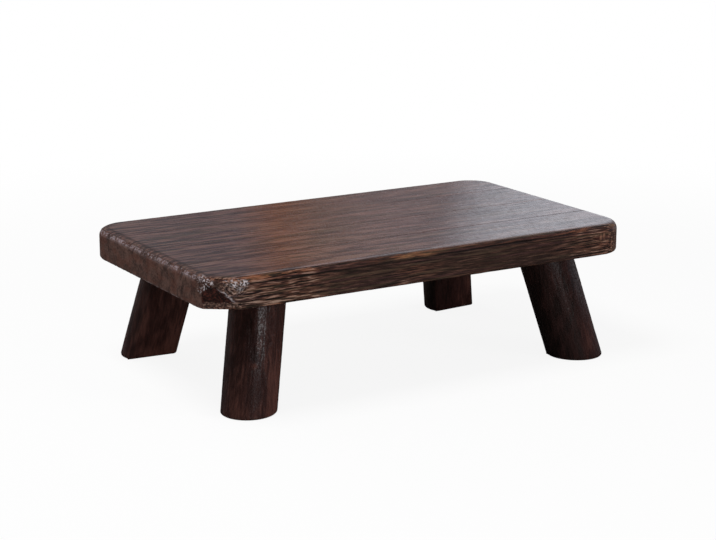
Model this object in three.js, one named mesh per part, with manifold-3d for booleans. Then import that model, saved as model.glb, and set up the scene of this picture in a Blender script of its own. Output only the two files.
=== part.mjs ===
// Low table: a thick slab of glued boards on four leaning, D-shaped log legs.
// Millimetres, +Z up. X runs along the slab, Y across it with the front at -Y.
// The origin lies on the floor, under the middle of the slab.

import * as THREE from 'three';
import { mergeVertices } from 'three/addons/utils/BufferGeometryUtils.js';
import Module from 'manifold-3d';

const wasm = await Module();
wasm.setup();

// Driving dimensions
const topLength = 700;
const topWidth = 400;
const topThickness = 46;
const tableHeight = 203;
const boardCount = 4;

// Slab edges: round corners in plan, rounded upper and lower arrises
const cornerRadius = 48;
const upperArris = 11.5;
const lowerArris = 11.5;

// Slanting flat that is hewn off a round corner, deepest at the underside
const facetHeight = 34.5; // from the underside up to its pointed top
const facetDepth = 8.4; // into the corner at the underside

// How deep each corner is hewn, as a share of that depth: back right, back left, front left
// and front right
const cornerFacetShares = [0, 0, 1, 0];

// Legs: a round log with one flat, sawn level at the slab and at the floor
const legRadius = 40;
const legFlatOffset = 18; // from the log's middle to the flat, on the inner side
const legFlatCornerRadius = 4;
const legSplay = 0.207; // outward lean per millimetre of height, along X and along Y
const legFlatTurn = THREE.MathUtils.degToRad(4.5); // flats face a little towards the table's ends
const footRound = 3.5;
const legFromEnd = 106.5; // from the slab's end to the middle of a leg's top
const legFromSide = 68.5; // from the slab's long side to the same point

// Each leg's side of the table. The logs differ a little, and were fitted by hand: x and y give
// how far outward a leg stands, as shares of the largest shift, and leanX, leanY and girth are
// shares of the common splay and radius.
const legShift = 8;
const legFitShares = [
  { name: 'front_left', sideX: -1, sideY: -1, x: -0.4, y: -0.4, leanX: 1.04, leanY: 0.97, girth: 0.985 },
  { name: 'front_right', sideX: 1, sideY: -1, x: -0.2, y: 0, leanX: 1.15, leanY: 1.01, girth: 1.01 },
  { name: 'back_left', sideX: -1, sideY: 1, x: -0.05, y: 0.05, leanX: 1, leanY: 1, girth: 1.01 },
  { name: 'back_right', sideX: 1, sideY: 1, x: -1, y: -0.15, leanX: 1.02, leanY: 0.98, girth: 1.01 },
];

// Blind fluted dowels that hold each leg to the slab
const dowelDiameter = 12;
const dowelLength = 56;
const dowelInSlab = 26; // the rest goes down into the leg
const dowelChamfer = 1.5;
const fluteDepth = 0.4;
const fluteCount = 12;
const glueGap = 0.3; // all round a dowel and at both ends of its bore

// Dowel places outward from the middle of a leg's top, as shares of the leg's radius
const dowelPlaceShares = [
  { name: 'inner', x: -0.5, y: 0.05 },
  { name: 'middle', x: 0.15, y: 0.62 },
  { name: 'end', x: 0.5, y: 0.05 },
];

// Fineness of the round forms
const arcSteps = 4; // on each side of a corner's flat
const facetSteps = 4;
const facetLeastAngle = THREE.MathUtils.degToRad(9); // half the facet's steps where it has no width
const wallSteps = 5;
const arrisSteps = 5;
const logSteps = 40;
const flatCornerSteps = 2;
const footSteps = 4;
const boreSides = 20;

const cutOverrun = 20; // how far a cutting solid runs past the material

const underside = tableHeight - topThickness;

// Colours and finishes
const boardMaterial = new THREE.MeshStandardMaterial({ color: 0x4a332c, roughness: 0.38, metalness: 0 });
const legMaterial = new THREE.MeshStandardMaterial({ color: 0x2a1a17, roughness: 0.5, metalness: 0 });
const dowelMaterial = new THREE.MeshStandardMaterial({ color: 0xc9a878, roughness: 0.7, metalness: 0 });

// A closed body through level rings of equal point counts, given from the bottom up.
// Each ring is { z, points }, its points anticlockwise seen from above.
function loft(rings) {
  const count = rings[0].points.length;
  const positions = rings.flatMap(({ z, points }) => points.flatMap(({ x, y }) => [x, y, z]));
  const indices = [];
  for (let ring = 0; ring + 1 < rings.length; ring += 1) {
    for (let i = 0; i < count; i += 1) {
      const next = (i + 1) % count;
      const low = ring * count;
      const high = low + count;
      indices.push(low + i, low + next, high + next);
      indices.push(low + i, high + next, high + i);
    }
  }
  const lastRing = (rings.length - 1) * count;
  for (const [a, b, c] of THREE.ShapeUtils.triangulateShape(rings[0].points, [])) {
    indices.push(a, c, b);
  }
  for (const [a, b, c] of THREE.ShapeUtils.triangulateShape(rings.at(-1).points, [])) {
    indices.push(lastRing + a, lastRing + b, lastRing + c);
  }
  const geometry = new THREE.BufferGeometry();
  geometry.setAttribute('position', new THREE.Float32BufferAttribute(positions, 3));
  geometry.setIndex(indices);
  return geometry;
}

function solidOf(geometry) {
  const bare = geometry.clone();
  bare.deleteAttribute('normal');
  bare.deleteAttribute('uv');
  const merged = mergeVertices(bare);
  return new wasm.Manifold(new wasm.Mesh({
    numProp: 3,
    vertProperties: new Float32Array(merged.attributes.position.array),
    triVerts: new Uint32Array(merged.index.array),
  }));
}

function geometryOf(solid) {
  const { vertProperties, triVerts } = solid.getMesh();
  const geometry = new THREE.BufferGeometry();
  geometry.setAttribute('position', new THREE.BufferAttribute(vertProperties, 3));
  geometry.setIndex(new THREE.BufferAttribute(triVerts, 1));
  geometry.computeVertexNormals();
  return geometry;
}

function meshOf(name, geometry, material) {
  const mesh = new THREE.Mesh(geometry, material);
  mesh.name = name;
  return mesh;
}

// One corner of a slab ring, as polar points about the middle of the corner's arc: two
// stretches of the arc with the straight facet between them. The ring is drawn in by the
// inset, and the facet lies deeper than the arc by the cut.
function cornerPolar(inset, cut) {
  const radius = cornerRadius - inset;
  const flat = radius - cut;
  const middle = Math.PI / 4;
  const half = Math.max(facetLeastAngle, Math.acos(flat / radius));
  const angles = [];
  for (let step = 0; step < arcSteps; step += 1) {
    angles.push((step / arcSteps) * (middle - half));
  }
  for (let step = 0; step <= facetSteps; step += 1) {
    angles.push(middle + (2 * step / facetSteps - 1) * half);
  }
  for (let step = 1; step <= arcSteps; step += 1) {
    angles.push(middle + half + (step / arcSteps) * (middle - half));
  }
  return angles.map((angle) => ({ angle, distance: Math.min(radius, flat / Math.cos(angle - middle)) }));
}

// A level ring round the slab
function slabRing(z, inset) {
  const rise = (z - underside) / facetHeight;
  const cut = facetDepth * Math.max(0, 1 - rise);
  const points = [];
  for (let quarter = 0; quarter < 4; quarter += 1) {
    const polar = cornerPolar(inset, cut * cornerFacetShares[quarter]);
    const start = quarter * Math.PI / 2;
    const middleX = Math.sign(Math.cos(start + Math.PI / 4)) * (topLength / 2 - cornerRadius);
    const middleY = Math.sign(Math.sin(start + Math.PI / 4)) * (topWidth / 2 - cornerRadius);
    for (const { angle, distance } of polar) {
      const x = middleX + distance * Math.cos(start + angle);
      const y = middleY + distance * Math.sin(start + angle);
      points.push(new THREE.Vector2(x, y));
    }
  }
  return { z, points };
}

// Rings up the lower arris, the upright wall with the facets, and the upper arris
function slabBody() {
  const rings = [];
  const wallBottom = underside + lowerArris;
  const wallTop = tableHeight - upperArris;
  for (let step = 0; step < arrisSteps; step += 1) {
    const angle = (step / arrisSteps) * (Math.PI / 2);
    rings.push(slabRing(underside + lowerArris * (1 - Math.cos(angle)), lowerArris * (1 - Math.sin(angle))));
  }
  for (let step = 0; step <= wallSteps; step += 1) {
    rings.push(slabRing(THREE.MathUtils.lerp(wallBottom, wallTop, step / wallSteps), 0));
  }
  for (let step = 1; step <= arrisSteps; step += 1) {
    const angle = (step / arrisSteps) * (Math.PI / 2);
    rings.push(slabRing(wallTop + upperArris * Math.sin(angle), upperArris * (1 - Math.cos(angle))));
  }
  return solidOf(loft(rings));
}

// Section of a leg square to its lean: an arc of the log closed by a flat with eased corners.
// The flat lies towards -Y.
function legSection(girth) {
  const radius = legRadius * girth;
  const flatHalf = Math.sqrt(radius ** 2 - legFlatOffset ** 2);
  const flatAngle = Math.asin(legFlatOffset / radius);
  const ease = legFlatCornerRadius / radius;
  const section = new THREE.Path();
  section.absarc(0, 0, radius, ease - flatAngle, Math.PI + flatAngle - ease);
  section.quadraticCurveTo(-flatHalf, -legFlatOffset, legFlatCornerRadius - flatHalf, -legFlatOffset);
  section.lineTo(flatHalf - legFlatCornerRadius, -legFlatOffset);
  const start = section.getPoint(0);
  section.quadraticCurveTo(flatHalf, -legFlatOffset, start.x, start.y);
  const arc = section.curves[0].getPoints(logSteps);
  const ends = section.curves.slice(1).flatMap((curve) => curve.getPoints(flatCornerSteps).slice(1));
  return [...arc, ...ends.slice(0, -1)];
}

// Middle of a leg's top against the slab, and the lean of its axis
function legAxis({ sideX, sideY, x, y, leanX, leanY }) {
  const outX = topLength / 2 - legFromEnd + x * legShift;
  const outY = topWidth / 2 - legFromSide + y * legShift;
  const top = new THREE.Vector3(sideX * outX, sideY * outY, underside);
  const slope = new THREE.Vector3(-sideX * legSplay * leanX, -sideY * legSplay * leanY, 1);
  return { top, slope };
}

// The leg's section projected along its lean on to a level plane, relative to its axis there
function levelSection({ sideX, sideY, girth }, slope, inset) {
  const axis = slope.clone().normalize();
  const turn = sideX * sideY * legFlatTurn;
  const along = new THREE.Vector3(Math.cos(turn), Math.sin(turn), 0);
  along.addScaledVector(axis, -along.dot(axis)).normalize();
  const outward = new THREE.Vector3().crossVectors(axis, along);
  if (outward.y * sideY < 0) {
    outward.negate();
  }
  const points = legSection(girth).map(({ x, y }) => {
    const shrink = 1 - inset / Math.hypot(x, y);
    const point = along.clone().multiplyScalar(x * shrink).addScaledVector(outward, y * shrink);
    point.addScaledVector(slope, -point.z);
    return new THREE.Vector2(point.x, point.y);
  });
  return THREE.ShapeUtils.isClockWise(points) ? points.reverse() : points;
}

function legBody(leg) {
  const { top, slope } = legAxis(leg);
  const rings = [];
  const addRing = (z, inset) => {
    const rise = slope.clone().multiplyScalar(z - underside);
    const middle = new THREE.Vector2(top.x + rise.x, top.y + rise.y);
    rings.push({ z, points: levelSection(leg, slope, inset).map((point) => point.add(middle)) });
  };
  for (let step = 0; step <= footSteps; step += 1) {
    const angle = (step / footSteps) * (Math.PI / 2);
    addRing(footRound * (1 - Math.cos(angle)), footRound * (1 - Math.sin(angle)));
  }
  addRing(underside, 0);
  return solidOf(loft(rings));
}

// Upper end of a dowel
function dowelPlace(leg, { x, y }) {
  const { top } = legAxis(leg);
  return new THREE.Vector3(
    top.x + leg.sideX * x * legRadius,
    top.y + leg.sideY * y * legRadius,
    underside + dowelInSlab,
  );
}

// Fluted dowel with chamfered ends, hanging from its upper end at the origin
function dowelGeometry() {
  const outline = (inset) => Array.from({ length: 2 * fluteCount }, (_, i) => {
    const angle = (i / fluteCount) * Math.PI;
    const radius = dowelDiameter / 2 - inset - (i % 2) * fluteDepth;
    return new THREE.Vector2(radius * Math.cos(angle), radius * Math.sin(angle));
  });
  return loft([
    { z: -dowelLength, points: outline(dowelChamfer) },
    { z: dowelChamfer - dowelLength, points: outline(0) },
    { z: -dowelChamfer, points: outline(0) },
    { z: 0, points: outline(dowelChamfer) },
  ]);
}

function boreCutter(place) {
  const radius = dowelDiameter / 2 + glueGap;
  const length = dowelLength + 2 * glueGap;
  const bore = new THREE.CylinderGeometry(radius, radius, length, boreSides);
  bore.rotateX(Math.PI / 2);
  bore.translate(place.x, place.y, place.z + glueGap - length / 2);
  return solidOf(bore);
}

function boardCutter(index) {
  const width = topWidth / boardCount;
  const height = topThickness + 2 * cutOverrun;
  const box = new THREE.BoxGeometry(topLength + 2 * cutOverrun, width, height);
  box.translate(0, (index + 0.5) * width - topWidth / 2, underside + topThickness / 2);
  return solidOf(box);
}

const table = new THREE.Group();
const bores = [];

for (const leg of legFitShares) {
  let body = legBody(leg);
  for (const dowel of dowelPlaceShares) {
    const place = dowelPlace(leg, dowel);
    const bore = boreCutter(place);
    body = body.subtract(bore);
    bores.push(bore);
    const pin = meshOf(`dowel_${leg.name}_${dowel.name}`, dowelGeometry(), dowelMaterial);
    pin.position.copy(place);
    table.add(pin);
  }
  table.add(meshOf(`leg_${leg.name}`, geometryOf(body), legMaterial));
}

let slab = slabBody();
for (const bore of bores) {
  slab = slab.subtract(bore);
}
for (let index = 0; index < boardCount; index += 1) {
  const board = slab.intersect(boardCutter(index));
  table.add(meshOf(`top_board_${index + 1}`, geometryOf(board), boardMaterial));
}

export default table;
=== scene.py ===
import math

import bmesh
import bpy
import numpy as np
from mathutils import Matrix, Vector, noise


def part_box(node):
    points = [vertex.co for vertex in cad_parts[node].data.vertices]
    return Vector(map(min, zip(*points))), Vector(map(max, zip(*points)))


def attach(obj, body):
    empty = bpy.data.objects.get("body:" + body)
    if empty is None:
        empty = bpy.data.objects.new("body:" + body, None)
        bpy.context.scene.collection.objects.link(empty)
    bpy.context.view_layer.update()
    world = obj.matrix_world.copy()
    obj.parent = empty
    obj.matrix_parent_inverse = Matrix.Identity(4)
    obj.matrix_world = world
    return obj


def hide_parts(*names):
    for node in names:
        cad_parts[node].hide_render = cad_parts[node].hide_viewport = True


# Low floor table: dark brushed slab of four boards on leaning log legs. Metres, +Z up.

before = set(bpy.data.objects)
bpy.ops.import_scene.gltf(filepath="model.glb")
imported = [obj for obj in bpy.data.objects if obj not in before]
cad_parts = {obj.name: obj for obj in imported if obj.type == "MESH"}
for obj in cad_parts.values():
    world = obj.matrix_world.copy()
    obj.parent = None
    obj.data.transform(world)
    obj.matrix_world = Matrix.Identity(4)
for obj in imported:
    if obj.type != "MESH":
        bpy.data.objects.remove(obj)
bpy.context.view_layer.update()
print("frame loaded:", len(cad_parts), "nodes")

mm = 0.001
touch = 0.01 * mm  # places closer than this count as lying on the same plane
weld = 0.02 * mm
boardNames = ["top_board_1", "top_board_2", "top_board_3", "top_board_4"]
legNames = ["leg_front_left", "leg_front_right", "leg_back_left", "leg_back_right"]
dowelNames = sorted(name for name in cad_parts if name.startswith("dowel_"))


# helpers for modelling

def deselectAll():
    if bpy.context.object and bpy.context.object.mode != "OBJECT":
        bpy.ops.object.mode_set(mode="OBJECT")
    bpy.ops.object.select_all(action="DESELECT")


def pickPiece(piece):
    deselectAll()
    piece.select_set(True)
    bpy.context.view_layer.objects.active = piece


def startPiece(name):  # names the primitive that was just added, and puts its place in its mesh
    piece = bpy.context.object
    piece.name = name
    bpy.ops.object.transform_apply(location=True, rotation=True, scale=True)
    return piece


def pickEdges(piece, test):  # in edit mode: selects the edges whose two ends pass the test
    bpy.ops.mesh.select_mode(type="EDGE")
    bpy.ops.mesh.select_all(action="DESELECT")
    shape = bmesh.from_edit_mesh(piece.data)
    for edge in shape.edges:
        edge.select_set(test(edge.verts[0].co, edge.verts[1].co))
    bmesh.update_edit_mesh(piece.data)


def pickVertices(piece, test):
    bpy.ops.mesh.select_mode(type="VERT")
    bpy.ops.mesh.select_all(action="DESELECT")
    shape = bmesh.from_edit_mesh(piece.data)
    count = 0
    for vertex in shape.verts:
        chosen = test(vertex.co)
        vertex.select_set(chosen)
        count += chosen
    bmesh.update_edit_mesh(piece.data)
    return count


def cutAway(place, normal):  # in edit mode: cuts off what lies beyond a plane, and closes the cut
    bpy.ops.mesh.select_all(action="SELECT")
    bpy.ops.mesh.bisect(plane_co=place, plane_no=normal, use_fill=True, clear_outer=True)


boreMake = {
    "sides": 40,
    "glueGap": 0.3 * mm,  # all round a dowel and at both ends of its bore
}


def boreOut(piece, names):  # bores for these dowels
    gap = boreMake["glueGap"]
    bores = []
    for name in names:
        low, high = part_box(name)
        size = high - low
        deselectAll()
        bpy.ops.mesh.primitive_cylinder_add(
            vertices=boreMake["sides"], radius=size.x / 2 + gap, depth=size.z + 2 * gap,
            location=(low + high) / 2)
        bores.append(startPiece("bore"))
    deselectAll()
    for bore in bores:
        bore.select_set(True)
    bpy.context.view_layer.objects.active = bores[0]
    bpy.ops.object.join()
    cutter = bpy.context.object
    pickPiece(piece)
    bored = piece.modifiers.new("bores", "BOOLEAN")
    bored.operation = "DIFFERENCE"
    bored.solver = "EXACT"
    bored.object = cutter
    bpy.ops.object.modifier_apply(modifier="bores")
    bpy.data.objects.remove(cutter)


def fineMesh(piece, squeeze, depth, fill):  # an even fine mesh, its cells long where the squeeze is small
    pickPiece(piece)
    bpy.ops.object.mode_set(mode="EDIT")
    bpy.ops.mesh.select_all(action="SELECT")
    bpy.ops.transform.resize(value=squeeze, center_override=(0, 0, 0))
    bpy.ops.object.mode_set(mode="OBJECT")
    fine = piece.modifiers.new("fine", "REMESH")
    fine.mode = "SHARP"
    fine.octree_depth = depth
    fine.scale = fill
    fine.sharpness = 1
    fine.use_remove_disconnected = False
    bpy.ops.object.modifier_apply(modifier="fine")
    bpy.ops.object.mode_set(mode="EDIT")
    bpy.ops.mesh.select_all(action="SELECT")
    bpy.ops.transform.resize(value=[1 / share for share in squeeze], center_override=(0, 0, 0))
    bpy.ops.mesh.normals_make_consistent(inside=False)
    bpy.ops.object.mode_set(mode="OBJECT")


# slab: one closed form, then sawn into its four boards

slabMake = {
    "cornerRadius": 48 * mm,
    "cornerSteps": 40,
    "arris": 11.5 * mm,  # round of the upper and the lower edge
    "arrisSteps": 7,
    "hewnCorners": [(-1, -1)],  # only the front left one
    "facetHeight": 34.5 * mm,  # slanting flat hewn off that corner, from the underside up to its point
    "facetDepth": 8.4 * mm,  # into the corner at the underside
    # how far it is turned at the underside and at its point, more to the front below
    "facetTwist": (math.radians(12), math.radians(-10)),
    "facetShares": [0.36, 0.55, 0.78, 1],  # levels of the facet, as shares of its height
    "squeezeAlong": 0.36,  # the cells of the fine mesh are longer along the grain
    "depth": 8,
    "fill": 0.9,
}


def facetAt(rise):  # depth and turn of the hewn flat at a height above the underside
    share = rise / slabMake["facetHeight"]
    below, above = slabMake["facetTwist"]
    return slabMake["facetDepth"] * (1 - share), below + (above - below) * share


def slabForm():
    low = Vector(min(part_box(name)[0][axis] for name in boardNames) for axis in range(3))
    high = Vector(max(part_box(name)[1][axis] for name in boardNames) for axis in range(3))
    size = high - low
    deselectAll()
    bpy.ops.mesh.primitive_plane_add(size=1, location=(0, 0, low.z))
    slab = startPiece("slab")
    bpy.ops.object.mode_set(mode="EDIT")
    bpy.ops.mesh.select_all(action="SELECT")
    bpy.ops.transform.resize(value=(size.x, size.y, 1), center_override=(0, 0, low.z))
    bpy.ops.mesh.bevel(offset=slabMake["cornerRadius"], segments=slabMake["cornerSteps"],
                       affect="VERTICES", profile=0.5)
    levels = [low.z + share * slabMake["facetHeight"] for share in slabMake["facetShares"]] + [high.z]
    bpy.ops.mesh.select_all(action="SELECT")
    last = low.z
    for level in levels:
        bpy.ops.mesh.extrude_region_move(TRANSFORM_OT_translate={"value": (0, 0, level - last)})
        last = level
    bpy.ops.mesh.select_all(action="SELECT")
    bpy.ops.mesh.normals_make_consistent(inside=False)

    # each level of a hewn corner is pressed flat across its diagonal, deepest at the underside
    reach = Vector((size.x / 2 - slabMake["cornerRadius"], size.y / 2 - slabMake["cornerRadius"]))
    for sideX, sideY in slabMake["hewnCorners"]:
        middle = Vector((sideX * reach.x, sideY * reach.y))
        for level in [low.z] + levels[:-2]:
            depth, twist = facetAt(level - low.z)
            diagonal = Vector((sideX, sideY)).normalized()
            diagonal.rotate(Matrix.Rotation(twist, 2))
            limit = slabMake["cornerRadius"] - depth

            def beyond(place):
                flat = Vector((place.x, place.y)) - middle
                return abs(place.z - level) < touch and flat.dot(diagonal) > limit

            if pickVertices(slab, beyond):
                flatPlace = middle + diagonal * limit
                across = Vector((diagonal.x, diagonal.y, 0))
                aside = Vector((-diagonal.y, diagonal.x, 0))
                bpy.ops.transform.resize(
                    value=(0, 1, 1), orient_type="GLOBAL", orient_matrix_type="GLOBAL",
                    orient_matrix=(across, aside, (0, 0, 1)), constraint_axis=(True, False, False),
                    center_override=(flatPlace.x, flatPlace.y, level))

    for level in (low.z, high.z):
        pickEdges(slab, lambda a, b: abs(a.z - level) < touch and abs(b.z - level) < touch)
        bpy.ops.mesh.bevel(offset=slabMake["arris"], segments=slabMake["arrisSteps"], profile=0.5,
                           affect="EDGES", clamp_overlap=True)
    bpy.ops.mesh.select_all(action="SELECT")
    bpy.ops.mesh.remove_doubles(threshold=weld)
    bpy.ops.object.mode_set(mode="OBJECT")
    boreOut(slab, dowelNames)
    return slab


def sawBoard(slab, name):
    low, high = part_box(name)
    board = slab.copy()
    board.data = slab.data.copy()
    board.name = name + "_wood"
    bpy.context.collection.objects.link(board)
    pickPiece(board)
    bpy.ops.object.mode_set(mode="EDIT")
    if name != boardNames[0]:
        cutAway((0, low.y, 0), (0, -1, 0))
    if name != boardNames[-1]:
        cutAway((0, high.y, 0), (0, 1, 0))
    bpy.ops.object.mode_set(mode="OBJECT")
    fineMesh(board, (slabMake["squeezeAlong"], 1, 1), slabMake["depth"], slabMake["fill"])
    return board


slabPiece = slabForm()
boards = [sawBoard(slabPiece, name) for name in boardNames]
bpy.data.objects.remove(slabPiece)
print("boards:", [len(board.data.polygons) for board in boards], "faces")


# legs: a peeled log with one flat, sawn level at the slab and at the floor

legMake = {
    "radius": 40 * mm,
    "sides": 64,
    "lean": 0.207,  # outward for each metre of height, along X and along Y
    "fit": {  # each log's lean along X and along Y, and its girth, as shares of the common ones
        "leg_front_left": (1.04, 0.97, 0.985),
        "leg_front_right": (1.15, 1.01, 1.01),
        "leg_back_left": (1, 1, 1.01),
        "leg_back_right": (1.02, 0.98, 1.01),
    },
    "flatOffset": 18 * mm,  # from the log's middle to the flat, on the inner side
    "flatTurn": math.radians(4.5),
    "flatCorner": 3.6 * mm,
    "flatCornerSteps": 4,
    "footRound": 3.5 * mm,
    "footSteps": 5,
    "dowelShare": 0.05,  # the two outer dowels stand this share of the radius outside the middle
    "overrun": 60 * mm,  # how far the log runs past the slab and the floor before it is sawn
    "squeezeUp": 0.4,  # the cells of the fine mesh are longer up the log
    "depth": 7,
    "fill": 0.9,
}


def legFrame(name):  # middle of the leg's top, its axis, the ways along its flat and outward, its radius
    sideX = 1 if "right" in name else -1
    sideY = 1 if "back" in name else -1
    corners = [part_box(name.replace("leg", "dowel") + ending) for ending in ("_inner", "_end")]
    top = sum((low + high for low, high in corners), Vector()) / 4
    top.y -= sideY * legMake["dowelShare"] * legMake["radius"]
    top.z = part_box(name)[1].z
    leanX, leanY, girth = legMake["fit"][name]
    axis = Vector((-sideX * legMake["lean"] * leanX, -sideY * legMake["lean"] * leanY, 1)).normalized()
    turn = sideX * sideY * legMake["flatTurn"]
    along = Vector((math.cos(turn), math.sin(turn), 0))
    along = (along - along.dot(axis) * axis).normalized()
    outward = axis.cross(along)
    if outward.y * sideY < 0:
        outward = -outward
    return top, axis, along, outward, legMake["radius"] * girth


def legForm(name):
    top, axis, along, outward, radius = legFrame(name)
    low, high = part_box(name)
    length = (high.z - low.z) / axis.z + 2 * legMake["overrun"]
    deselectAll()
    bpy.ops.mesh.primitive_cylinder_add(
        vertices=legMake["sides"], radius=radius, depth=length,
        location=top - axis * (length / 2 - legMake["overrun"]),
        rotation=Matrix((along, axis.cross(along), axis)).transposed().to_euler())
    leg = startPiece(name + "_wood")
    bpy.ops.object.mode_set(mode="EDIT")
    flatPlace = top - outward * legMake["flatOffset"]
    cutAway(flatPlace, -outward)

    def flatEdge(a, b):
        onFlat = all(abs((end - flatPlace).dot(outward)) < touch for end in (a, b))
        return onFlat and abs((b - a).normalized().dot(axis)) > 0.99

    pickEdges(leg, flatEdge)
    bpy.ops.mesh.bevel(offset=legMake["flatCorner"], segments=legMake["flatCornerSteps"], profile=0.5,
                       affect="EDGES")
    cutAway(high, (0, 0, 1))
    cutAway(low, (0, 0, -1))
    pickEdges(leg, lambda a, b: max(a.z, b.z) < low.z + touch)
    bpy.ops.mesh.bevel(offset=legMake["footRound"], segments=legMake["footSteps"], profile=0.5,
                       affect="EDGES")
    bpy.ops.mesh.select_all(action="SELECT")
    bpy.ops.mesh.remove_doubles(threshold=weld)
    bpy.ops.object.mode_set(mode="OBJECT")
    dowels = [dowel for dowel in dowelNames if dowel.startswith(name.replace("leg", "dowel"))]
    boreOut(leg, dowels)
    fineMesh(leg, (1, 1, legMake["squeezeUp"]), legMake["depth"], legMake["fill"])
    return leg


legs = [legForm(name) for name in legNames]
print("legs:", [len(leg.data.polygons) for leg in legs], "faces")


# relief: every vertex is moved along its normal, and what the wood is there is kept in attributes

def ease(low, high, value):
    share = min(1, max(0, (value - low) / (high - low)))
    return share * share * (3 - 2 * share)


def carve(piece, woodAt):  # woodAt gives height in millimetres, and the attributes
    mesh = piece.data
    count = len(mesh.vertices)
    places = np.empty(count * 3, np.float32)
    normals = np.empty(count * 3, np.float32)
    mesh.vertices.foreach_get("co", places)
    mesh.vertex_normals.foreach_get("vector", normals)
    places = places.reshape(-1, 3)
    normals = normals.reshape(-1, 3)
    fields = [woodAt(place, normal) for place, normal in zip((places / mm).tolist(), normals.tolist())]
    heights = np.array([field["height"] for field in fields], np.float32)
    places += normals * heights[:, None] * mm
    mesh.vertices.foreach_set("co", places.ravel())
    for name in fields[0]:
        if name != "height":
            values = mesh.attributes.new(name, "FLOAT", "POINT")
            values.data.foreach_set("value", np.array([field[name] for field in fields], np.float32))
    mesh.update()


boardRelief = {  # in millimetres
    "sideDepth": 0.28,  # on the long sides
    "topDepth": 0.045,
    "underDepth": 0.25,
    "endDepth": 0.1,
    "arrisDepth": 0.2,
    "chatterDepth": 0.45,  # of the uneven, hand planed arrises
    # a painted shade line just inside the left end's upper arris, with a faint groove: how far in from the
    # outline, and X where it starts
    "arrisLine": {"inset": 13, "width": 2.8, "depth": 0.08, "start": -285, "fade": 30, "shade": 0.8},
    "ringWidth": 4.4,
    "pith": [(-168, 92), (-20, 60), (66, 90), (142, 320)],  # middle of each board's tree rings, Y and Z
    "waves": [(3.4, 95, 34, 15), (1.1, 33, 12, 7)],  # how far the grain sways, over what X, Y and Z
    "fibreSize": (24, 2.2),  # along the grain and across it
    "coarseSize": (60, 11),
    "toneSize": (150, 26, 13),
    "seedStep": 11.3,  # from board to board
    "frontMarks": -150,  # the marks of the front edge lie before this Y
    # long crack under the front's upper edge, X and height, and how open it is there
    "crack": [(-320, 192.8, 0), (-288, 192.2, 0.9), (-214, 191.4, 1), (-182, 192.8, 0.9), (-120, 192.6, 0.4),
              (-56, 192.2, 0.6), (27, 194.8, 0.5), (85, 195.4, 1), (148, 196.1, 1), (220, 196.5, 0.7),
              (290, 195.5, 0.3), (350, 195, 0.2)],
    "crackDepth": 1.1,
    "crackWidth": 1.0,
    "jointWidth": 2.0,  # the relief fades out this close to a glue line
    "jointGroove": {"depth": 0.04, "width": 0.9},
    # how bold the fibres of the front are, and how warm their colour, partly a painted orange highlight,
    # from left to right
    "vigour": [(-350, 1.1), (-215, 1), (-170, 0.35), (-90, 0.15), (-60, 0.35), (-20, 0.3), (20, 0.15),
               (200, 0.12), (250, 0.4), (300, 0.6), (350, 0.5)],
    "warmth": [(-350, 0.5), (-260, 1), (-215, 0.9), (-165, 0.3), (-70, 0.2), (-48, 0.9), (-15, 0.7),
               (20, 0.2), (230, 0.3), (280, 1), (350, 0.9)],
    "elsewhere": (0.3, 0.4),  # vigour and warmth away from the front
    # splintered places at the hewn corner, painted with sparkle highlights too: X, Y, Z, reach and strength
    "chips": [(-345, -165, 200, 8, 0.7), (-343, -174, 196, 6, 1), (-339, -180, 194, 5, 1),
              (-344.5, -173, 187.5, 4, 0.9), (-347, -166, 184, 6, 0.6), (-322, -194, 197, 5, 0.6),
              (-311, -198, 195, 7, 1), (-304, -199, 194.5, 5, 0.8), (-297, -200, 194, 6, 0.9),
              (-305, -200, 186, 6, 0.5)],
    "hollows": [(-333, -188, 194, 5.5, 0.8), (-321, -194, 191, 4, 0.5)],  # painted shade between them, dented a little too
    "chipDepth": 1.0,
    "rimHeight": 0.5,  # burr along the edge of the hewn flat
    "highest": 0.5,  # no relief stands out farther than this
    "rubStretch": 4,  # painted glints, pale places on the front's upper edge, are longer than wide
    "rubs": [(-43, -198, 199.6, 2.4, 1), (-54, -193, 202, 2.5, 0.5), (-25, -195, 201.5, 2.5, 0.5),
             (-8, -199, 198, 2.5, 0.45), (18, -197, 200.5, 2.5, 0.35), (-286, -197, 200.5, 3, 0.3),
             (-258, -195, 201.5, 3, 0.3), (-236, -199, 198.5, 3, 0.25), (318, -190, 201, 4, 0.6)],
}


def follow(points, along):  # straight from point to point of a chosen line, all its values at once
    for before, after in zip(points, points[1:]):
        if along <= after[0]:
            share = min(1, max(0, (along - before[0]) / (after[0] - before[0])))
            return [a + (b - a) * share for a, b in zip(before[1:], after[1:])]
    return list(points[-1][1:])


def nearness(spots, place, stretch=1):  # to the nearest of some spots: X, Y, Z, reach and strength
    def to(x, y, z, reach, strength):
        apart = ((place[0] - x) / stretch) ** 2 + (place[1] - y) ** 2 + (place[2] - z) ** 2
        return strength * math.exp(-apart / reach ** 2)

    return max(to(*spot) for spot in spots)


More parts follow.
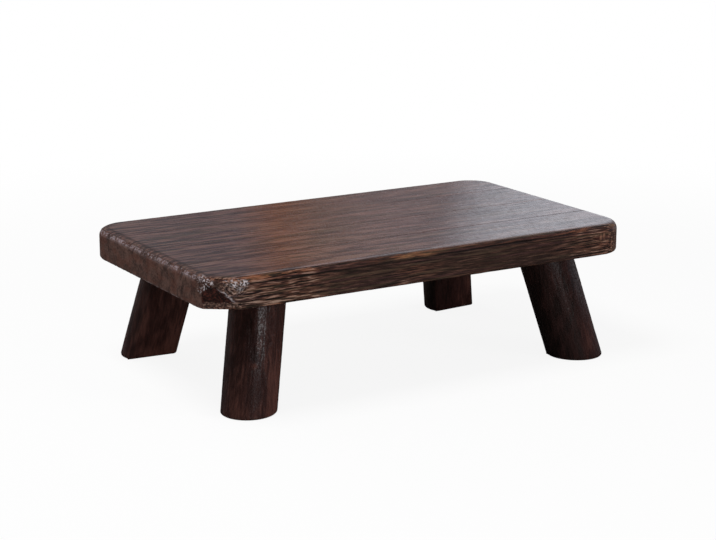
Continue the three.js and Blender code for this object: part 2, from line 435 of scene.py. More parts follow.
def boardWoodAt(index, lowY, highY):
    make = boardRelief
    pithY, pithZ = make["pith"][index]
    seed = make["seedStep"] * index
    first, last = index == 0, index == len(boardNames) - 1
    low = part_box(boardNames[0])[0] / mm
    radius, facetHeight = (slabMake[name] / mm for name in ("cornerRadius", "facetHeight"))
    cornerX, cornerY = low.x + radius, low.y + radius
    away = 9  # a distance at which neither a joint nor the crack shows

    def hewnAt(x, y, z):  # how much a place lies on the hewn flat, and on the burr at its front edge
        rise = z - low.z
        if x > cornerX or y > cornerY or rise > facetHeight + 2:
            return 0, 0
        depth, twist = facetAt(rise * mm)
        limit = radius - max(0.05, depth / mm)
        facing = math.radians(225) + twist
        apart = (x - cornerX) * math.cos(facing) + (y - cornerY) * math.sin(facing) - limit
        turn = math.degrees(math.atan2(cornerY - y, cornerX - x) - facing) + 180
        edge = math.degrees(math.acos(limit / radius))
        flat = ease(edge + 2, edge - 1, abs(turn)) * math.exp(-(apart / 0.9) ** 2)
        rim = math.exp(-((turn - edge - 1) / 1.9) ** 2)
        rim = rim * ease(9, 16, rise) * ease(facetHeight - 2, facetHeight - 9, rise)
        return flat * ease(9, 12.5, rise), rim

    def insetAt(x, y):  # how far in from the outline of the slab
        far = [max(0, abs(value) + radius - edge) for value, edge in ((x, -low.x), (y, -low.y))]
        if min(far) > 0:
            return radius - math.hypot(*far)
        return min(-low.x - abs(x), -low.y - abs(y))

    def woodAt(place, normal):
        x, y, z = place
        side = ease(0.3, 0.85, abs(normal[1]))
        top = ease(0.4, 0.95, normal[2])
        under = ease(0.4, 0.95, -normal[2])
        end = ease(0.3, 0.9, abs(normal[0]))
        arris = 4 * normal[2] ** 2 * (1 - min(1, normal[2] ** 2))
        joint = min(away if first else y - lowY, away if last else highY - y)  # distance from the glue line
        free = ease(0, make["jointWidth"], joint)

        wave = sum(sway * noise.noise((x / sizeX + seed, y / sizeY, z / sizeZ))
                   for sway, sizeX, sizeY, sizeZ in make["waves"])
        ring = math.hypot(y - pithY, z - pithZ) + wave
        rings = abs(math.sin(math.pi * ring / make["ringWidth"]))
        along, across = make["fibreSize"]
        fibre = noise.fractal((x / along + seed, (y + wave) / across, (z + wave) / across), 0.9, 2.1, 2)
        along, across = make["coarseSize"]
        coarse = noise.noise((x / along + seed, y / across + 5, z / across))
        ridge = min(1, max(0, 0.3 * rings + 0.36 + 0.7 * fibre + 0.2 * coarse))
        vigour, warmth = make["elsewhere"]
        if first:
            share = ease(-0.2, 0.5, -normal[1])
            vigour += share * (follow(make["vigour"], x)[0] - vigour)
            warmth += share * (follow(make["warmth"], x)[0] - warmth)

        depth = (side * make["sideDepth"] * (0.6 + 0.6 * vigour) + top * make["topDepth"]
                 + under * make["underDepth"] + end * make["endDepth"] + arris * make["arrisDepth"])
        height = -depth * (1 - ridge)
        chatter = noise.noise((x / 11 + seed, y / 5, z / 5))
        chatter += 0.6 * noise.noise((x / 5, y / 2.5 + seed, z / 3))
        height += make["chatterDepth"] * arris * (chatter - 0.4)
        line = make["arrisLine"]
        shadeLineMask = math.exp(-((insetAt(x, y) + 1.2 * chatter - line["inset"]) / line["width"]) ** 2)
        shadeLineMask *= top * ease(line["start"], line["start"] - line["fade"], x)
        height -= line["depth"] * shadeLineMask
        crack, chip, hewn, rim, rub, gape, offCrack = 0, 0, 0, 0, 0, 0, away
        if first and y < make["frontMarks"]:
            level, gape = follow(make["crack"], x)
            level += 0.7 * noise.noise((x / 30, 3.1, seed)) + 0.35 * noise.noise((x / 11, 8.2, seed))
            offCrack = z - level
            gape *= ease(0.2, 0.6, -normal[1])
            chip = nearness(make["chips"], place)
            crack = gape * math.exp(-(offCrack / make["crackWidth"]) ** 2)
            # painted shade between the chips joins the crack's shade
            crack = max(crack, nearness(make["hollows"], place))
            # painted glints along the front's upper edge
            rub = nearness(make["rubs"], place, make["rubStretch"])
            splinter = noise.noise((x / 5, y / 4, z / 3.2 + 7))
            hewn, rim = hewnAt(x, y, z + 2.5 * splinter)
            height += chip * make["chipDepth"] * (splinter - 0.35)
            height = height * (1 - 0.8 * hewn) - 0.25 * hewn * ridge
            height += rim * make["rimHeight"] * (0.6 + splinter) - make["crackDepth"] * crack
        groove = make["jointGroove"]
        height *= free
        height -= groove["depth"] * top * math.exp(-(joint / groove["width"]) ** 2)
        sizeX, sizeY, sizeZ = make["toneSize"]
        tone = 0.5 + 0.5 * noise.fractal((x / sizeX + seed, y / sizeY, z / sizeZ), 1, 2, 3)
        # the painted shade line inside the left end's arris joins the crack's shade
        crack = max(crack, line["shade"] * shadeLineMask)
        return {"height": min(height, make["highest"]), "ridge": ridge, "tone": tone, "side": side,
                "end": end, "arris": arris, "vigour": vigour, "warmth": warmth, "chip": chip, "hewn": hewn,
                "burr": rim, "rub": rub, "crack": crack, "gape": gape, "offCrack": offCrack}

    return woodAt


for index, board in enumerate(boards):
    lowY, highY = (corner.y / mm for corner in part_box(boardNames[index]))
    carve(board, boardWoodAt(index, lowY, highY))
print("boards carved")


legRelief = {  # in millimetres
    "flute": {"depth": 0.5, "across": 12, "down": 120},
    "fibre": {"depth": 0.18, "across": 2.6, "down": 34},
    "peel": {"depth": 0.18, "across": 2.8, "down": 4},
    "tone": {"across": 30, "down": 110},
    "sink": 0.2,  # the whole relief lies this much deeper than the log
    "knotHeight": 0.5,
    "endFade": 4,  # the relief fades out this close to both ends
    "seedStep": 5.7,  # from leg to leg
    # strokes left by the drawknife: heading and height at each end, width and depth
    "strokes": {
        "leg_front_left": [(-136, 142, -152, 80, 4.6, 0.5), (-176, 62, -190, 30, 2.6, 0.5)],
        "leg_back_left": [(176, 64, 166, 44, 2.0, 0.5)],
        "leg_front_right": [(-140, 120, -146, 40, 3.0, 0.3)],
        "leg_back_right": [(-120, 110, -128, 50, 2.5, 0.4)],
    },
    "knots": {"leg_front_left": (-157, 71, 6)},  # heading, height and size
    # how much lighter or darker each log is coloured
    "stain": {"leg_front_left": 0, "leg_front_right": -0.25, "leg_back_left": 0.2, "leg_back_right": -0.2},
    "paleSide": (150, 0.2),  # heading of each log's side painted lighter, as painted light from the front right, in degrees, and how much lighter
    "polish": {"leg_front_left": 1, "leg_front_right": 0.35, "leg_back_left": 0.5, "leg_back_right": 0.5},
}


def legWoodAt(name, seed):
    make = legRelief
    top, axis, along, outward, radius = legFrame(name)
    top = top / mm
    radius /= mm
    low, high = (corner.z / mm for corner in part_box(name))
    strokes = make["strokes"].get(name, [])
    knotMark = make["knots"].get(name)
    stain, polish = make["stain"][name], make["polish"][name]
    litTurn, litShare = make["paleSide"]

    def turnTo(heading, other):  # the shorter way round, in radians
        return math.radians((heading - other + 180) % 360 - 180)

    def woodAt(place, normal):
        away = Vector(place) - top
        a, b, down = away.dot(along), away.dot(outward), away.dot(axis)

        def spot(grain):  # the place, in sizes of that grain
            return a / grain["across"], b / grain["across"], down / grain["down"] + seed

        free = ease(0, make["endFade"], place[2] - low) * ease(0, make["endFade"], high - place[2])
        free *= 1 - ease(0.6, 0.95, abs(normal[2]))
        flutes = noise.noise(spot(make["flute"]))
        fibre = noise.fractal(spot(make["fibre"]), 0.9, 2.1, 2)
        peel = noise.noise(spot(make["peel"]))
        radial = away - down * axis
        heading = math.degrees(math.atan2(radial.x, radial.y))
        mark = 0
        for fromTurn, fromHeight, toTurn, toHeight, width, depth in strokes:
            share = (place[2] - fromHeight) / (toHeight - fromHeight)
            middle = fromTurn + (toTurn - fromTurn) * min(1, max(0, share))
            middle += 3 * noise.noise((place[2] / 14, seed, 0.5))
            reach = radius * turnTo(heading, middle) / width
            fade = ease(-0.15, 0.1, share) * ease(-0.12, 0.1, 1 - share)
            mark = max(mark, depth * fade * math.exp(-reach * reach))
        knot = 0
        if knotMark:
            turn, rise, size = knotMark
            apart = math.hypot(radius * turnTo(heading, turn), place[2] - rise) / size
            knot = math.exp(-apart * apart * 1.5)
        height = (make["flute"]["depth"] * flutes + make["fibre"]["depth"] * fibre
                  + make["peel"]["depth"] * peel) * free - make["sink"]
        height += (make["knotHeight"] * knot - mark) * free
        ridge = min(1, max(0, 0.5 + 0.6 * fibre + 0.3 * flutes - 1.2 * mark))
        tone = 0.5 + 0.5 * noise.fractal(spot(make["tone"]), 1, 2, 3)
        # painted light: each log is coloured lighter on its side toward the front right and darker on its
        # far side; the lightness attribute carries it
        pale = litShare * (math.cos(turnTo(heading, litTurn)) - 0.3)
        return {"height": height * free, "ridge": ridge, "tone": tone, "knot": knot, "stain": stain + pale,
                "polish": polish}

    return woodAt


for number, (leg, name) in enumerate(zip(legs, legNames)):
    carve(leg, legWoodAt(name, legRelief["seedStep"] * number))
print("legs carved")

sharpFrom = math.radians(50)  # edges that turn more than this stay sharp
for piece in boards + legs:
    pickPiece(piece)
    bpy.ops.object.shade_smooth_by_angle(angle=sharpFrom)


# materials

class Field:  # wraps a socket, so that numbers over a surface are written as sums
    def __init__(self, tree, socket=None):
        self.tree = tree
        self.socket = socket

    def node(self, kind, settings=None, sockets=None, output=0):
        made = self.tree.nodes.new("ShaderNode" + kind)
        for name, value in (settings or {}).items():
            if name == "stops":
                ramp = made.color_ramp
                for number, (position, colour) in enumerate(value):
                    stop = ramp.elements[number] if number < 2 else ramp.elements.new(position)
                    stop.position = position
                    stop.color = colour
            else:
                setattr(made, name, value)
        for key, value in (sockets or {}).items():
            if isinstance(value, Field):
                self.tree.links.new(value.socket, made.inputs[key])
            else:
                made.inputs[key].default_value = value
        return Field(self.tree, made.outputs[output])

    def maths(self, operation, first, second=0.0):
        return self.node("Math", {"operation": operation}, {0: first, 1: second})

    def __add__(self, other):
        return self.maths("ADD", self, other)

    def __radd__(self, other):
        return self.maths("ADD", other, self)

    def __sub__(self, other):
        return self.maths("SUBTRACT", self, other)

    def __rsub__(self, other):
        return self.maths("SUBTRACT", other, self)

    def __mul__(self, other):
        return self.maths("MULTIPLY", self, other)

    def __rmul__(self, other):
        return self.maths("MULTIPLY", other, self)

    def __pow__(self, other):
        return self.maths("POWER", self, other)

    def clamped(self, low, high):  # from 0 at low to 1 at high, smoothly
        return self.node("MapRange", {"interpolation_type": "SMOOTHSTEP"}, {0: self, 1: low, 2: high})

    def between(self, first, second):  # numbers, by this field
        return first + self * (second - first)

    def mix(self, first, second):  # colours, by this field
        return self.node("Mix", {"data_type": "RGBA"}, {0: self, 6: first, 7: second}, 2)

    def parts(self):  # X, Y and Z of a place
        split = self.node("SeparateXYZ", sockets={0: self}).socket.node
        return [Field(self.tree, split.outputs[axis]) for axis in "XYZ"]

    def mark(self, name):  # what carving kept on the vertices
        return self.node("Attribute", {"attribute_name": name}, output="Fac")

    # noise over this place, drawn out by the scale
    def grain(self, scale, detail=2.0, wobble=0.0, roughness=0.55):
        drawn = self.node("Mapping", sockets={"Vector": self, "Scale": scale})
        return self.node("TexNoise", sockets={"Vector": drawn, "Scale": 1.0, "Detail": detail,
                                              "Roughness": roughness, "Distortion": wobble}, output="Fac")


def shade(red, green, blue):  # a colour as it looks on screen, 0 to 255
    def linear(value):
        value /= 255
        return value / 12.92 if value <= 0.04045 else ((value + 0.055) / 1.055) ** 2.4

    return (linear(red), linear(green), linear(blue), 1)


def newMaterial(name):
    material = bpy.data.materials.new(name)
    material.use_nodes = True
    material.node_tree.nodes.clear()
    return material, Field(material.node_tree)


def closeMaterial(start, surface):
    output = start.tree.nodes.new("ShaderNodeOutputMaterial")
    start.tree.links.new(surface.socket, output.inputs["Surface"])


boardFinish = {
    "topGroove": shade(48, 32, 28),  # along the broad top
    "topBody": shade(76, 53, 47),
    "topRidge": shade(108, 78, 68),
    "endDark": shade(43, 25, 20),  # in the end grain
    "endLight": shade(97, 70, 61),
    "endWarm": shade(96, 48, 32),
    "groove": shade(16, 9, 7),  # in the bolder fibres of the long sides
    "body": shade(42, 27, 22),
    "ridge": shade(78, 54, 46),
    "crest": shade(146, 120, 106),
    # warm colour of the front's fibres, partly a painted orange highlight
    "warm": shade(128, 76, 50),
    # painted shade of the hewn flat, which faces the floor: dark, and a little lighter
    "hewn": shade(30, 12, 9),
    "hewnLight": shade(74, 34, 26),
    # painted sparkle highlights on the splinters
    "chipped": shade(196, 188, 192),
    # painted golden glints on the front's upper edge
    "rubbed": shade(164, 118, 82),
    # painted highlight spots along the ends' edges
    "wornWood": shade(168, 156, 164),
    "olive": shade(92, 76, 58),
    "plum": shade(78, 48, 50),
    "fine": (50, 650, 650),  # fibres for each metre, along and across
    "strokes": (34, 500, 500),
    "bands": (8, 140, 140),
    "dashes": (24, 170, 170),
    "longBands": (2.5, 40, 40),
    "tints": (7, 90, 260),
    "pebbles": (280, 85, 85),
    "spots": (300, 320, 460),
    "blotches": (60, 65, 40),
    "specks": (330, 360, 420),
    "streakFade": (-0.22, 0.02),  # the top's streaks fade from left to right, between these X
    "streakRange": (3.6, 2.0),
    "endWarmShare": 0.3,  # how strongly each of these colours its places
    "tintShare": 0.3,
    # painted shade: how strongly the dark line along the crack and the crack itself take the groove colour
    "lineShare": 0.9,
    "crackShare": 0.85,
    "rubShare": 0.7,
    "wornShare": 0.42,
    "chipShare": 0.8,
    "roughness": 0.48,
    "ior": 1.3,
    "coat": 0.9,
    "coatIor": 1.36,
    "coatRoughness": 0.06,
    "bump": 0.45 * mm,
}

knotMake = {  # figures on the front, in millimetres
    "eyes": [(295.5, 185.8, 2.2, 4.4), (301, 188.5, 1.4, 2.8)],  # X, Z and half size of the pale eyes
    "ring": (306, 186, 5, 6.4, 0.5),  # X, Z, half size and thickness share of a pale ring beside them
    "wedge": (293.5, 185, 15, 4.2),  # X, Z, length and half width of a dark wedge that points away from them
    "hollow": (306, 186, 2.4, 3.4),  # dark, in the ring
    "swirl": (-309, 189, 1.3, 3.6, 15),  # X, Z, stretch, spacing and reach of the rings at the hewn corner
    "swirlWobble": 5,
    # how strongly each figure colours the wood
    "shares": {"wedge": 0.6, "lips": 0.2, "hollow": 0.35, "ring": 0.24, "eye": 0.5, "swirlDark": 0.6,
               "swirlLight": 0.5},
    "eyeWood": shade(150, 106, 84),
    "wedgeWood": shade(52, 18, 11),
    "darkWood": shade(36, 14, 9),
    "swirlWood": shade(150, 128, 120),
}


def drawKnots(place, colour, side, specks):  # two small knot figures over the colour of the front
    make = knotMake
    share = make["shares"]
    x, y, z = (part * 1000 for part in place.parts())  # millimetres
    front = side.clamped(0.1, 0.6) * y.clamped(-180, -192)
    uneven = specks.clamped(0.3, 0.62)

    def apart(middleX, middleZ, halfX, halfZ):  # 0 in the middle of an oval, 1 at its edge
        return (((x - middleX) * (1 / halfX)) ** 2 + ((z - middleZ) * (1 / halfZ)) ** 2) ** 0.5

    tipX, tipZ, length, halfWidth = make["wedge"]
    along = (tipX - x) * (1 / length)  # 0 at its broad end, 1 at its tip
    across = z.maths("ABSOLUTE", z - tipZ) * (1 / halfWidth) + along
    wedge = across.clamped(1.05, 0.5) * along.clamped(-0.1, 0.05)
    lips = across.clamped(0.95, 1.15) * across.clamped(1.6, 1.25)  # pale, along both sides of the wedge
    lips = lips * along.clamped(0, 0.2) * along.clamped(1.3, 0.9)
    colour = (wedge * front * share["wedge"]).mix(colour, make["wedgeWood"])
    colour = (lips * front * share["lips"]).mix(colour, make["eyeWood"])
    ringX, ringZ, halfX, halfZ, thickness = make["ring"]
    offRing = x.maths("ABSOLUTE", apart(ringX, ringZ, halfX, halfZ) - 1)
    hollow = apart(*make["hollow"]).clamped(1.4, 0.2)
    colour = (hollow * front * share["hollow"]).mix(colour, make["darkWood"])
    ring = offRing.clamped(thickness, 0)
    colour = (ring * front * uneven * share["ring"]).mix(colour, make["eyeWood"])
    for eye in make["eyes"]:
        colour = (apart(*eye).clamped(1.6, 0) * front * share["eye"]).mix(colour, make["eyeWood"])

    swirlX, swirlZ, stretch, spacing, reach = make["swirl"]
    away = apart(swirlX, swirlZ, stretch, 1)
    wave = away.maths("SINE", (away + (specks - 0.5) * make["swirlWobble"]) * (2 * math.pi / spacing))
    swirled = away.clamped(reach, 0.4 * reach) * front
    colour = (swirled * (0 - wave).clamped(0, 0.9) * share["swirlDark"]).mix(colour, make["darkWood"])
    return (swirled * wave.clamped(0.1, 0.9) * share["swirlLight"]).mix(colour, make["swirlWood"])


def boardWood():
    make = boardFinish
    material, start = newMaterial("brushed_dark_boards")
    place = start.node("TexCoord", output="Object")
    ridge, tone, side, end, arris, vigour, warmth = (start.mark(name) for name in (
        "ridge", "tone", "side", "end", "arris", "vigour", "warmth"))
    chip, hewn, burr, rub, crack, gape, offCrack = (start.mark(name) for name in (
        "chip", "hewn", "burr", "rub", "crack", "gape", "offCrack"))
    fine = place.grain(make["fine"])
    strokes = place.grain(make["strokes"], 2.5, 0.25)
    bands = place.grain(make["bands"], 3.0, 0.5)
    dashes = place.grain(make["dashes"], 2.0, 0.3)
    longBands = place.grain(make["longBands"])
    tints = place.grain(make["tints"], 1.0, 0.3)
    pebbles = place.grain(make["pebbles"], 1.0)
    spots = place.grain(make["spots"], 1.5)
    blotches = place.grain(make["blotches"], 4.0, 1.0)
    specks = place.grain(make["specks"], 1.5)
    bolder = (side + arris * 0.8).clamped(0.1, 0.7) * (1 - end)
    clean = 1 - crack
    line = gape * start.maths("ABSOLUTE", offCrack + (strokes - 0.5) * 2.5).clamped(1.5, 0.5)

    streaky = place.parts()[0].clamped(*make["streakFade"]).between(*make["streakRange"])
    calm = 0.42 + (bands + dashes - 1) * streaky + (longBands - 0.5) * 0.6 + (ridge - 0.5) * 0.2
    calmColour = calm.clamped(0, 0.55).mix(make["topGroove"], make["topBody"])
    calmColour = calm.clamped(0.45, 1).mix(calmColour, make["topRidge"])
    endLight = 0.5 + (blotches - 0.5) * 1.8 + (ridge - 0.5) * 0.4 + (specks - 0.5) * 0.8
    endColour = endLight.clamped(0, 1).mix(make["endDark"], make["endLight"])
    endColour = (tone.clamped(0.45, 0.75) * make["endWarmShare"]).mix(endColour, make["endWarm"])
    bold = 0.5 + (strokes - 0.5) * 3 + (fine - 0.5) * 1.2 + (ridge - 0.5) * 0.1
    bold = 0.38 + (bold - 0.5) * (0.25 + vigour * 1.35) + vigour * 0.12
    boldColour = bold.clamped(0, 0.42).mix(make["groove"], make["body"])
    boldColour = bold.clamped(0.4, 0.75).mix(boldColour, make["ridge"])
    boldColour = bold.clamped(0.75, 1.1).mix(boldColour, make["crest"])
    # warm colour on the front's fibres and upper edge, partly a painted orange highlight
    warm = warmth * tone.clamped(0.15, 0.6) * bold.clamped(0.25, 0.65) * (0.28 + 0.65 * arris)
    boldColour = warm.mix(boldColour, make["warm"])
    colour = end.clamped(0.2, 0.8).mix(calmColour, endColour)
    colour = bolder.mix(colour, boldColour)
    colour = (tints.clamped(0.52, 0.7) * make["tintShare"] * (1 - end)).mix(colour, make["olive"])
    colour = (tints.clamped(0.48, 0.3) * make["tintShare"] * (1 - end)).mix(colour, make["plum"])
    # painted shade: a dark line along the crack, in the groove colour
    colour = (line * make["lineShare"]).mix(colour, make["groove"])
    colour = drawKnots(place, colour, side, specks)
    # painted shade: the hewn flat is coloured darker than the wood around it
    hewnShadedColour = (strokes + blotches - specks).clamped(0.35, 0.8).mix(make["hewn"], make["hewnLight"])
    colour = hewn.clamped(0.1, 0.8).mix(colour, hewnShadedColour)
    # painted shade in the crack, between the chips and on the line inside the left end's arris, in the
    # groove colour
    colour = (crack * make["crackShare"]).mix(colour, make["groove"])
    # painted highlight: golden glints on the front's upper edge
    colour = (rub * dashes.clamped(0.42, 0.58) * make["rubShare"]).mix(colour, make["rubbed"])
    # painted highlight: bright sparkles on the splinters
    bright = chip.clamped(0.15, 0.75) * specks.clamped(0.47, 0.62)
    # painted highlight along the burr at the hewn flat's edge
    bright = start.maths("MAXIMUM", bright, burr * strokes.clamped(0.35, 0.5) * 0.7)
    sheenSpots = (arris * end).clamped(0.3, 0.75) * (spots + (blotches - 0.5) * 1.2).clamped(0.4, 0.72)
    colour = (sheenSpots * make["wornShare"]).mix(colour, make["wornWood"])  # painted highlight spots along the ends' edges
    colour = (bright * make["chipShare"]).mix(colour, make["chipped"])

    rough = make["roughness"] + (fine - 0.5) * 0.3 + (1 - ridge) * 0.1
    rough = rough + arris * 0.15 + hewn * 0.2 - chip * 0.25
    gloss = 0.5 + (bands - 0.5) * 0.6 + (dashes - 0.5) * 0.7 + (pebbles - 0.5) * 1.2
    dull = (1 - 0.6 * bolder) * (1 - 0.5 * end) * (1 - 0.85 * arris) * (1 - hewn)
    coat = make["coat"] * (0.45 + 0.8 * gloss) * clean * (dull + 0.65 * sheenSpots) + chip * 0.5
    height = fine * (0.2 + 0.4 * bolder) + strokes * (0.2 + 0.9 * bolder) + chip * specks * 2.5
    normal = start.node("Bump", sockets={"Strength": 1.0, "Distance": make["bump"], "Height": height})
    surface = start.node("BsdfPrincipled", sockets={
        "Base Color": colour, "Roughness": rough, "IOR": make["ior"], "Coat Weight": coat,
        "Coat Roughness": make["coatRoughness"], "Coat IOR": make["coatIor"], "Normal": normal})
    closeMaterial(start, surface)
    return material


legFinish = {
    "groove": shade(17, 7, 5),
    "body": shade(39, 18, 15),
    "ridge": shade(77, 45, 38),
    "knotCore": shade(88, 48, 36),
    "fibre": (260, 260, 16),
    "peel": (420, 420, 330),
    "stains": (26, 26, 9),
    "roughness": 0.4,
    "ior": 1.32,
    "coat": 1,
    "coatIor": 1.48,
    "coatRoughness": 0.2,
    "footDull": (0.115, 0.04),  # a leg's gloss fades downward between these heights
    "footLight": 0.24,  # how much lighter the wood is painted there, as painted light from the floor
    "knotShare": 0.45,
    "bump": 0.45 * mm,
}


def legWood():
    make = legFinish
    material, start = newMaterial("peeled_dark_log")
    place = start.node("TexCoord", output="Object")
    ridge, tone, knot, stain, polish = (start.mark(name) for name in (
        "ridge", "tone", "knot", "stain", "polish"))
    fibre = place.grain(make["fibre"], 3.0)
    peel = place.grain(make["peel"], 2.0)
    stains = place.grain(make["stains"], 3.0, 0.6)
    foot = place.parts()[2].clamped(*make["footDull"])
    light = 0.5 + (fibre - 0.5) * 0.7 + (ridge - 0.5) * 0.35 + (tone - 0.5) * 0.35
    # painted light: the lower part of each log is coloured lighter
    light = light + (stains - 0.5) * 1.2 + stain + foot * polish * make["footLight"]
    colour = light.clamped(0, 0.55).mix(make["groove"], make["body"])
    colour = light.clamped(0.45, 1.1).mix(colour, make["ridge"])
    colour = (knot.clamped(0.15, 0.95) * make["knotShare"]).mix(colour, make["knotCore"])
    rough = make["roughness"] + (peel - 0.5) * 0.3 + (stains - 0.5) * 0.4 + foot * 0.2
    coat = make["coat"] * polish * (0.04 + 0.96 * peel.clamped(0.49, 0.59)) * (1 - 0.85 * foot)
    normal = start.node("Bump", sockets={"Strength": 1.0, "Distance": make["bump"],
                                         "Height": fibre * 0.4 + peel * 0.9})
    surface = start.node("BsdfPrincipled", sockets={
        "Base Color": colour, "Roughness": rough, "IOR": make["ior"], "Coat Weight": coat,
        "Coat Roughness": make["coatRoughness"], "Coat IOR": make["coatIor"], "Normal": normal})
    closeMaterial(start, surface)
    return material


dowelFinish = {
    "wood": shade(201, 168, 120),
    "dark": shade(158, 122, 82),
    "flecks": (900, 900, 60),
    "roughness": 0.62,
    "bump": 0.1 * mm,
}


def dowelWood():
    make = dowelFinish
    material, start = newMaterial("bare_beech_dowel")
    place = start.node("TexCoord", output="Object")
    fleck = place.grain(make["flecks"], 3.0, roughness=0.5)
    colour = fleck.clamped(0.35, 0.7).mix(make["wood"], make["dark"])
    normal = start.node("Bump", sockets={"Strength": 1.0, "Distance": make["bump"], "Height": fleck})
    surface = start.node("BsdfPrincipled", sockets={
        "Base Color": colour, "Roughness": make["roughness"], "Normal": normal})
    closeMaterial(start, surface)
    return material


boardMaterial, legMaterial, dowelMaterial = boardWood(), legWood(), dowelWood()

for pieces, names, slot, material in ((boards, boardNames, "board_wood", boardMaterial),
                                      (legs, legNames, "leg_wood", legMaterial)):
    for piece, name in zip(pieces, names):
        piece.data.materials.clear()
        piece.data.materials.append(material)
        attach(piece, "root")
        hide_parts(name)
for name in dowelNames:
    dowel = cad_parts[name]
    dowel.data.materials.clear()
    dowel.data.materials.append(dowelMaterial)
print("materials done")


# stage: pale floor, soft lamps, and a tent that only gloss sees

stageMake = {
    "floorSize": 14,
    "floorGap": 0.2 * mm,  # below the feet, so that their grain stays clear of it
    "floorColour": (0.92, 0.92, 0.92, 1),
    "backgroundShare": 0.89,  # how far the floor is lifted to white for the camera, beside the object
    "fadeStart": 0.7,  # farther off it fades into plain white
    "fadeEnd": 1.8,
    "worldLevel": 0.31,
    "tentRadius": 40,
    "tentSides": 64,
    # what gloss sees by compass heading, in degrees from +Y towards +X
    "tentColours": [
        (-180, (2.6, 2.6, 2.65, 1)), (-168, (2.35, 2.35, 2.4, 1)), (-155, (0.05, 0.04, 0.04, 1)),
        (-75, (0.02, 0.015, 0.01, 1)), (-38, (0.04, 0.04, 0.04, 1)), (-26, (0.7, 0.7, 0.78, 1)),
        (-15, (1, 1, 1.1, 1)), (0, (0.6, 0.6, 0.66, 1)), (12, (0.15, 0.15, 0.165, 1)),
        (24, (0.15, 0.16, 0.185, 1)), (26.8, (0.125, 0.115, 0.14, 1)), (27.5, (0.25, 0.12, 0.065, 1)),
        (28.4, (0.29, 0.075, 0, 1)), (29.2, (0.24, 0.14, 0.09, 1)), (30.3, (0.3, 0.22, 0.21, 1)),
        (32.8, (0.29, 0.24, 0.26, 1)), (34, (0.26, 0.23, 0.25, 1)), (34.7, (0.53, 0.54, 0.61, 1)),
        (35.3, (0.88, 0.93, 1.04, 1)), (37.5, (1.1, 1.15, 1.28, 1)),
        (55, (1.35, 1.38, 1.52, 1)), (75, (1, 1, 1.05, 1)), (95, (0.6, 0.56, 0.62, 1)),
        (125, (0.4, 0.36, 0.4, 1)), (150, (0.05, 0.05, 0.05, 1)), (163, (0.05, 0.05, 0.05, 1)),
        (176, (2.35, 2.35, 2.4, 1)), (180, (2.6, 2.6, 2.65, 1))],
    "tentSlant": (0.1, -0.2),  # degrees of heading for each degree of height
    "slantTurn": (31, 34),  # headings between which it goes from the one slant to the other
    "tentLevel": 12.2,  # height at which the headings above hold
    # the card in front of the table is dimmed above it, more and more between these headings and heights
    "dimTurn": (140, 160),
    "dimHeight": (14, 20),
    "dimShare": 0.75,
    "dimColour": (0.12, 0.1, 0.1, 1),
    "clothColour": (0.14, 0.105, 0.095, 1),
    "clothLift": 0.6 * mm,
}


def seenAsBackground(start):  # 1 where the camera, gloss or glass sees it, otherwise 0
    seen = ("Is Camera Ray", "Is Glossy Ray", "Is Transmission Ray")
    camera, gloss, glass = (start.node("LightPath", output=ray) for ray in seen)
    return start.maths("MAXIMUM", start.maths("MAXIMUM", camera, gloss), glass)


def buildFloor():
    make = stageMake
    deselectAll()
    bpy.ops.mesh.primitive_plane_add(size=make["floorSize"], location=(0, 0, -make["floorGap"]))
    floor = startPiece("floor")
    material, start = newMaterial("pale_floor")
    x, y = start.node("TexCoord", output="Object").parts()[:2]
    far = ((x ** 2 + y ** 2) ** 0.5).clamped(make["fadeStart"], make["fadeEnd"])
    plain = start.node("BsdfDiffuse", sockets={"Color": make["floorColour"]})
    white = start.node("Emission", sockets={"Color": (1, 1, 1, 1), "Strength": 1.0})
    share = seenAsBackground(start) * far.between(make["backgroundShare"], 1.0)
    closeMaterial(start, start.node("MixShader", sockets={0: share, 1: plain, 2: white}))
    floor.data.materials.append(material)


def onlyGloss(piece):
    piece.visible_camera = False
    piece.visible_diffuse = False
    piece.visible_transmission = False
    piece.visible_shadow = False
    piece.visible_volume_scatter = False


def buildTent():
    make = stageMake
    deselectAll()
    bpy.ops.mesh.primitive_uv_sphere_add(segments=make["tentSides"], ring_count=make["tentSides"] // 2,
                                         radius=make["tentRadius"], location=(0, 0, 0))
    tent = startPiece("reflection_tent")
    bpy.ops.object.mode_set(mode="EDIT")
    cutAway((0, 0, 0), (0, 0, -1))
    bpy.ops.object.mode_set(mode="OBJECT")
    material, start = newMaterial("tent_cloth")
    x, y, z = start.node("TexCoord", output="Object").parts()
    heading = start.maths("ARCTAN2", x, y) * (180 / math.pi)
    height = start.maths("ARCSINE", z * (1 / make["tentRadius"])) * (180 / math.pi)
    slant = heading.clamped(*make["slantTurn"]).between(*make["tentSlant"])
    slanted = heading - (height - make["tentLevel"]) * slant
    stops = [(degrees / 360 + 0.5, colour) for degrees, colour in make["tentColours"]]
    colour = start.node("ValToRGB", {"stops": stops}, {0: slanted * (1 / 360) + 0.5})
    turned = start.maths("ABSOLUTE", heading).clamped(*make["dimTurn"])
    dim = turned * height.clamped(*make["dimHeight"]) * make["dimShare"]
    colour = dim.mix(colour, make["dimColour"])
    closeMaterial(start, start.node("Emission", sockets={"Color": colour, "Strength": 1.0}))
    material.cycles.emission_sampling = "NONE"
    tent.data.materials.append(material)
    onlyGloss(tent)

    deselectAll()
    bpy.ops.mesh.primitive_circle_add(vertices=make["tentSides"], radius=make["tentRadius"],
                                      fill_type="NGON", location=(0, 0, make["clothLift"]))
    cloth = startPiece("ground_cloth")
    material, start = newMaterial("brown_ground_cloth")
    closeMaterial(start, start.node("BsdfDiffuse", sockets={"Color": make["clothColour"]}))
    cloth.data.materials.append(material)
    onlyGloss(cloth)


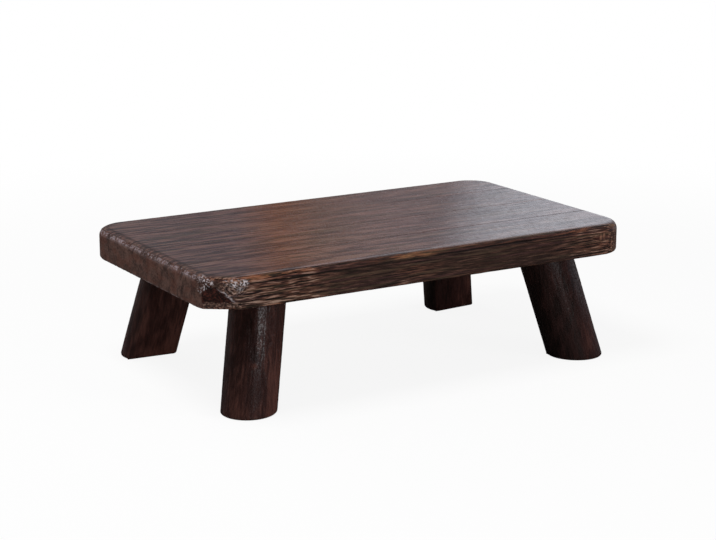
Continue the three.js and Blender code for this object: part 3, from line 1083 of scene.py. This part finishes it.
lampMake = [  # name, place, what it faces, width and height in metres, brightness
    ("overhead_lamp", (-0.9, -0.1, 2.3), (0, 0, 0.1), 1.0, 0.9, 11),
    ("front_lamp", (-0.7, -2.5, 0.75), (-0.2, 0, 0.1), 1.0, 0.6, 3.0),
    ("right_lamp", (1.4, -2.3, 0.8), (0, 0, 0.1), 1.2, 1.0, 5.8),
    ("back_lamp", (-0.65, 2.1, 1.35), (-0.1, 0, 0.2), 1.4, 0.5, 3.0),
]


def buildLamps():
    for name, place, target, width, height, level in lampMake:
        deselectAll()
        facing = (Vector(target) - Vector(place)).to_track_quat("-Z", "Y").to_euler()
        bpy.ops.object.light_add(type="AREA", location=place, rotation=facing)
        lamp = bpy.context.object
        lamp.name = name
        lamp.data.shape = "RECTANGLE"
        lamp.data.size = width
        lamp.data.size_y = height
        lamp.data.energy = level * math.pi * width * height
        lamp.visible_camera = False
        lamp.visible_glossy = False  # gloss sees the tent instead


def buildWorld():
    world = bpy.data.worlds.new("studio")
    bpy.context.scene.world = world
    world.use_nodes = True
    world.node_tree.nodes.clear()
    start = Field(world.node_tree)
    background = seenAsBackground(start)
    level = background * (1 - stageMake["worldLevel"]) + stageMake["worldLevel"]
    sky = start.node("Background", sockets={"Color": (1, 1, 1, 1), "Strength": level})
    output = world.node_tree.nodes.new("ShaderNodeOutputWorld")
    world.node_tree.links.new(sky.socket, output.inputs["Surface"])


cameraMake = {
    "place": (-1396.7 * mm, -2328.3 * mm, 810.2 * mm),
    "down": math.radians(14.0511),
    "turn": math.radians(-30.8881),
    "lens": 93.949,  # millimetres, as the sensor's width
    "sensor": 36,
    "farthest": 60,  # in metres, past the tent
}


def buildCamera():
    deselectAll()
    bpy.ops.object.camera_add(location=cameraMake["place"],
                              rotation=(math.pi / 2 - cameraMake["down"], 0, cameraMake["turn"]))
    camera = bpy.context.object
    camera.data.lens = cameraMake["lens"]
    camera.data.sensor_width = cameraMake["sensor"]
    camera.data.clip_end = cameraMake["farthest"]
    bpy.context.scene.camera = camera


buildFloor()
buildTent()
buildLamps()
buildWorld()
buildCamera()
bpy.context.scene.view_settings.view_transform = "Standard"
print("stage done")
